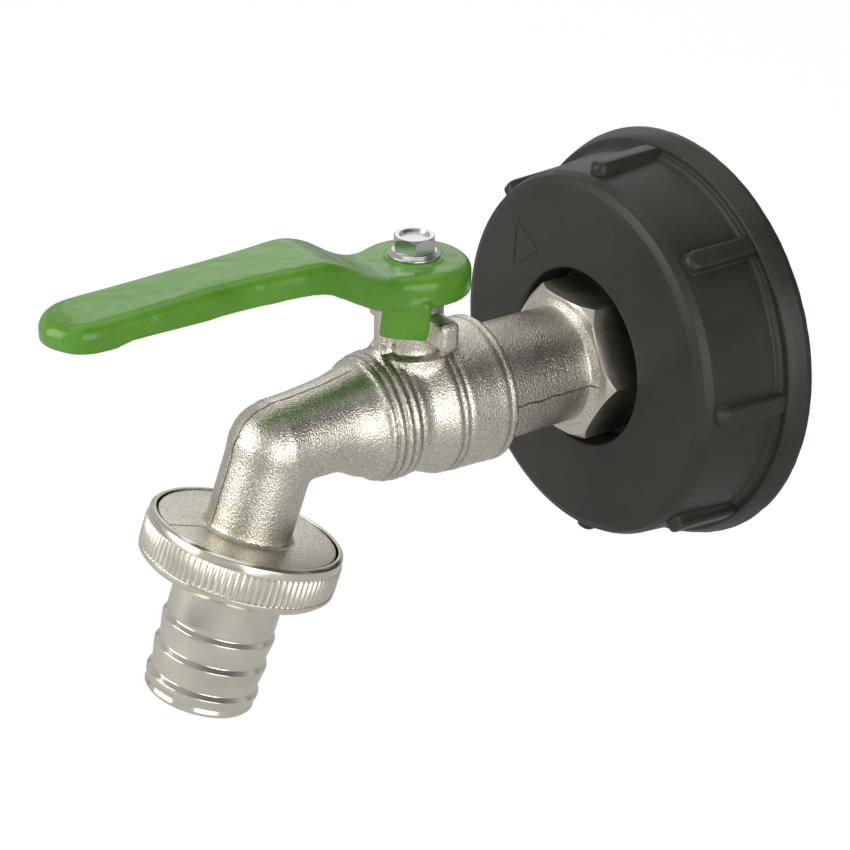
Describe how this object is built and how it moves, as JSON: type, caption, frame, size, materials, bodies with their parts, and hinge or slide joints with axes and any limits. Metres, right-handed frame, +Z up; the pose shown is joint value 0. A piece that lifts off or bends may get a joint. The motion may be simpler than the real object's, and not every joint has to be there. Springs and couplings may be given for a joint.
{
  "type": "ball tap with tank screw cap",
  "caption": "Lever ball tap with an elbow spout, knurled union nut and barbed hose tail, on a ribbed screw cap for the outlet of an intermediate bulk container.",
  "frame": {"origin": "centre of the cap's open mouth, on the tap's main axis", "axes": "+Y along the main axis from the tap into the tank, +Z up along the lever's stem, +X to the right when facing the tank"},
  "size_m": [0.083, 0.1315, 0.0911],
  "materials": {
    "black_plastic": "moulded, matt",
    "rubber": "matt",
    "satin_nickel": "sand-cast brass, satin nickel plate",
    "bright_nickel": "turned brass, bright nickel plate",
    "zinc_steel": "bright zinc plate",
    "green_coat": "glossy dip coat on pressed steel",
    "white_ptfe": "smooth, waxy"
  },
  "bodies": {
    "tap": {"ibc_cap": "black_plastic", "cap_hub": "black_plastic", "tank_gasket": "rubber", "inlet_gasket": "rubber", "inlet_end": "satin_nickel", "joint_sealant": "rubber", "valve_body": "satin_nickel", "spout": "satin_nickel", "seat_rear": "white_ptfe", "seat_front": "white_ptfe", "thrust_washer": "white_ptfe", "hose_gasket": "rubber"},
    "handle": {"lever": "green_coat", "lever_bolt": "zinc_steel", "stem": "bright_nickel", "stem_oring_lower": "rubber", "stem_oring_upper": "rubber"},
    "ball": {"ball": "bright_nickel"},
    "nut": {"union_nut": "bright_nickel"},
    "tail": {"hose_tail": "bright_nickel"}
  },
  "joints": [
    {"name": "lever_turn", "type": "hinge", "parent": "tap", "child": "handle", "pos_m": [0, -0.061, 0.0265], "axis": [0, 0, 1], "range_deg": [-90, 0]},
    {"name": "ball_turn", "type": "hinge", "parent": "tap", "child": "ball", "pos_m": [0, -0.061, 0], "axis": [0, 0, 1], "range_deg": [-90, 0]},
    {"name": "nut_turn", "type": "hinge", "parent": "tap", "child": "nut", "pos_m": [0, -0.09674, -0.01883], "axis": [0, -0.3371, -0.9415], "continuous": true},
    {"name": "tail_turn", "type": "hinge", "parent": "tap", "child": "tail", "pos_m": [0, -0.1018, -0.03295], "axis": [0, -0.3371, -0.9415], "continuous": true}
  ],
  "couplings": [
    {"joint": "ball_turn", "follows": "lever_turn", "ratio": 1}
  ]
}
